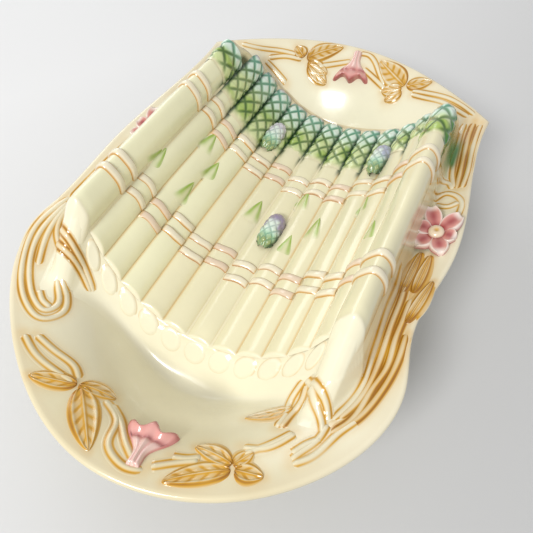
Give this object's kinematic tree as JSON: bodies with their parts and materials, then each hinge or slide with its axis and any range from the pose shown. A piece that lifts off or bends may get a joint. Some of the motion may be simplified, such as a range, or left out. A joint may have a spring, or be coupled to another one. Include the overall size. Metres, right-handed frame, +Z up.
{
  "type": "asparagus platter",
  "caption": "Deep lobed earthenware platter with a moulded bed of asparagus spears across it, a well at each end, and flowers and leaves in relief round the rim.",
  "frame": {"origin": "on the table, in the plane of the foot ring, on the spear bundle's middle line, halfway along the even rim without the lobe's overrun", "axes": "+X across the spears, +Y along them towards the tips, +Z up"},
  "size_m": [0.2535, 0.3805, 0.1016],
  "materials": {
    "ivory_glaze": "glossy ivory lead-style glaze",
    "spear_glaze": "glossy cream glaze, amber in the grooves",
    "tip_glaze": "glossy green and violet glazes over scales",
    "twine_glaze": "glossy cream glaze with brown edges",
    "leaf_green_glaze": "glossy green glaze",
    "pink_glaze": "glossy pink glaze",
    "yellow_glaze": "glossy yellow glaze",
    "amber_glaze": "glossy amber glaze that runs thin on the ridges"
  },
  "bodies": {
    "root": {"dish": "ivory_glaze", "foot_ring": "ivory_glaze", "spear_bed": "spear_glaze", "spear_01": "spear_glaze", "spear_02": "spear_glaze", "spear_03": "spear_glaze", "spear_04": "spear_glaze", "spear_05": "spear_glaze", "spear_06": "spear_glaze", "spear_07": "spear_glaze", "spear_08": "spear_glaze", "spear_09": "spear_glaze", "spear_10": "spear_glaze", "spear_11": "spear_glaze", "spear_12": "spear_glaze", "spear_13": "spear_glaze", "spear_tip_01": "tip_glaze", "spear_tip_02": "tip_glaze", "spear_tip_03": "tip_glaze", "spear_tip_04": "tip_glaze", "spear_tip_05": "tip_glaze", "spear_tip_06": "tip_glaze", "spear_tip_07": "tip_glaze", "spear_tip_08": "tip_glaze", "spear_tip_09": "tip_glaze", "spear_tip_10": "tip_glaze", "spear_tip_11": "tip_glaze", "spear_tip_12": "tip_glaze", "spear_tip_13": "tip_glaze", "short_tip_left": "tip_glaze", "short_tip_right": "tip_glaze", "short_tip_near": "tip_glaze", "lower_twine": "twine_glaze", "upper_twine": "twine_glaze", "scale_leaves": "leaf_green_glaze", "right_flower": "pink_glaze", "left_flower": "pink_glaze", "near_bell_flower": "pink_glaze", "far_bell_flower": "pink_glaze", "right_flower_eye": "yellow_glaze", "left_flower_eye": "yellow_glaze", "near_left_leaves": "amber_glaze", "near_right_leaves": "amber_glaze", "far_right_leaves": "amber_glaze", "far_left_leaves": "amber_glaze", "folded_leaf": "amber_glaze", "right_side_leaves": "amber_glaze", "near_stem_loop": "amber_glaze", "near_right_stems": "amber_glaze", "right_stems": "amber_glaze", "right_ribbon": "amber_glaze", "far_right_stems": "amber_glaze", "far_left_stems": "amber_glaze", "left_ribbon": "amber_glaze", "left_stems": "amber_glaze"}
  },
  "joints": []
}
